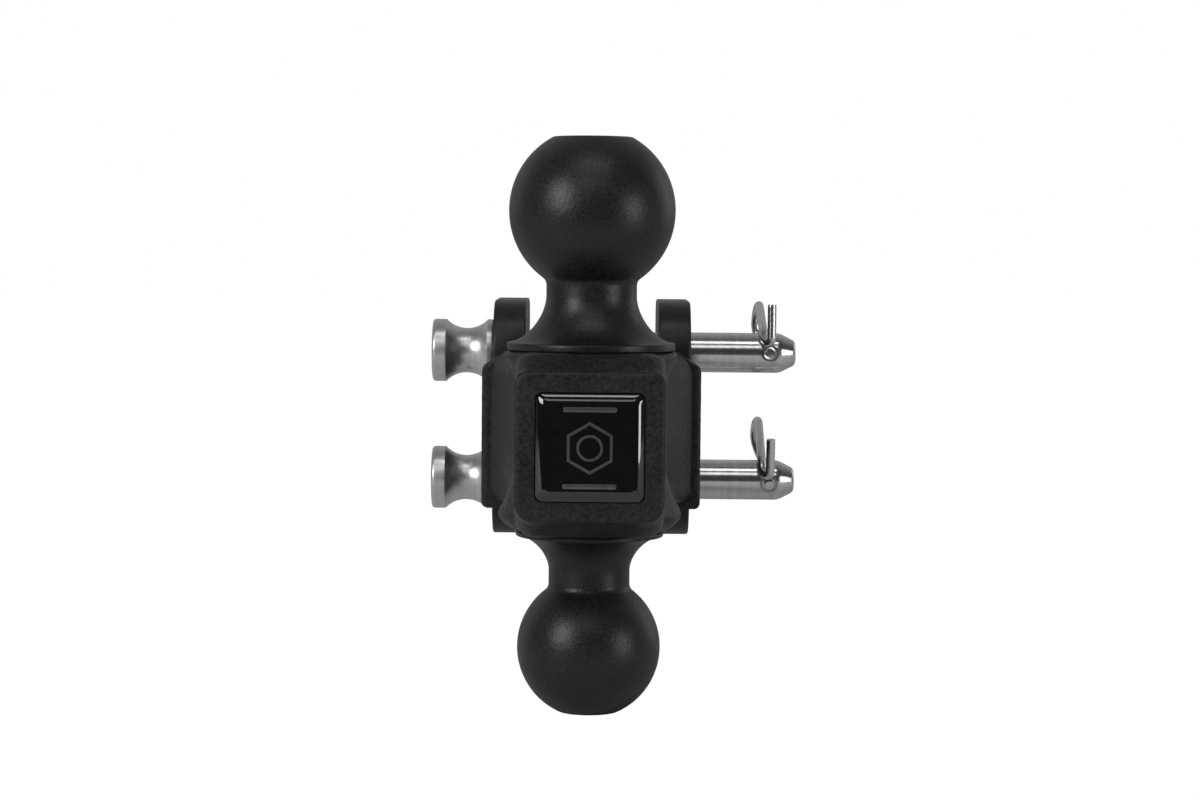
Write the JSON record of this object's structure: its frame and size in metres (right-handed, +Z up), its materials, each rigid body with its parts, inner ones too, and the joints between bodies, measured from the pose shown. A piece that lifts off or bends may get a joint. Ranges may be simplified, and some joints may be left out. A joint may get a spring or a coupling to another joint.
{
  "type": "trailer hitch ball attachment",
  "caption": "Two-ball hitch attachment: a forged block with a large ball above and a small one below, and a pinned channel behind that fits a drop bar.",
  "frame": {"origin": "centre of the back plate's bar-bearing face, midway between the two pin axes", "axes": "+Z up towards the large ball, +Y rearwards along the channel, +X along the pins from their knobs to their clips"},
  "size_m": [0.1443, 0.2059, 0.2035],
  "materials": {
    "cast_coat": "black powder coat over a rough forged skin",
    "powder_coat": "fine-textured black powder coat with a soft sheen",
    "stainless": "turned and polished stainless steel",
    "spring_wire": "bright drawn spring wire",
    "badge_black": "glossy domed black resin",
    "badge_metal": "satin aluminium"
  },
  "bodies": {
    "hitch_body": {"center_block": "cast_coat", "back_plate": "cast_coat", "large_ball": "powder_coat", "small_ball": "powder_coat", "left_cheek": "powder_coat", "right_cheek": "powder_coat", "left_cheek_weld": "powder_coat", "right_cheek_weld": "powder_coat", "badge_plate": "badge_metal", "badge_dome": "badge_black", "badge_ring": "badge_metal"},
    "upper_pin_body": {"upper_pin": "stainless"},
    "lower_pin_body": {"lower_pin": "stainless"},
    "upper_clip_body": {"upper_clip": "spring_wire"},
    "lower_clip_body": {"lower_clip": "spring_wire"}
  },
  "joints": [
    {"name": "upper_pin_slide", "type": "slide", "parent": "hitch_body", "child": "upper_pin_body", "axis": [-1, 0, 0], "range_m": [0, 0.0265]},
    {"name": "lower_pin_slide", "type": "slide", "parent": "hitch_body", "child": "lower_pin_body", "axis": [-1, 0, 0], "range_m": [0, 0.0265]},
    {"name": "upper_clip_pull", "type": "slide", "parent": "upper_pin_body", "child": "upper_clip_body", "axis": [0, 1, 0], "range_m": [0, 0.04], "deforming": ["upper_clip"]},
    {"name": "lower_clip_pull", "type": "slide", "parent": "lower_pin_body", "child": "lower_clip_body", "axis": [0, 0.9863, 0.165], "range_m": [0, 0.04], "deforming": ["lower_clip"]}
  ]
}
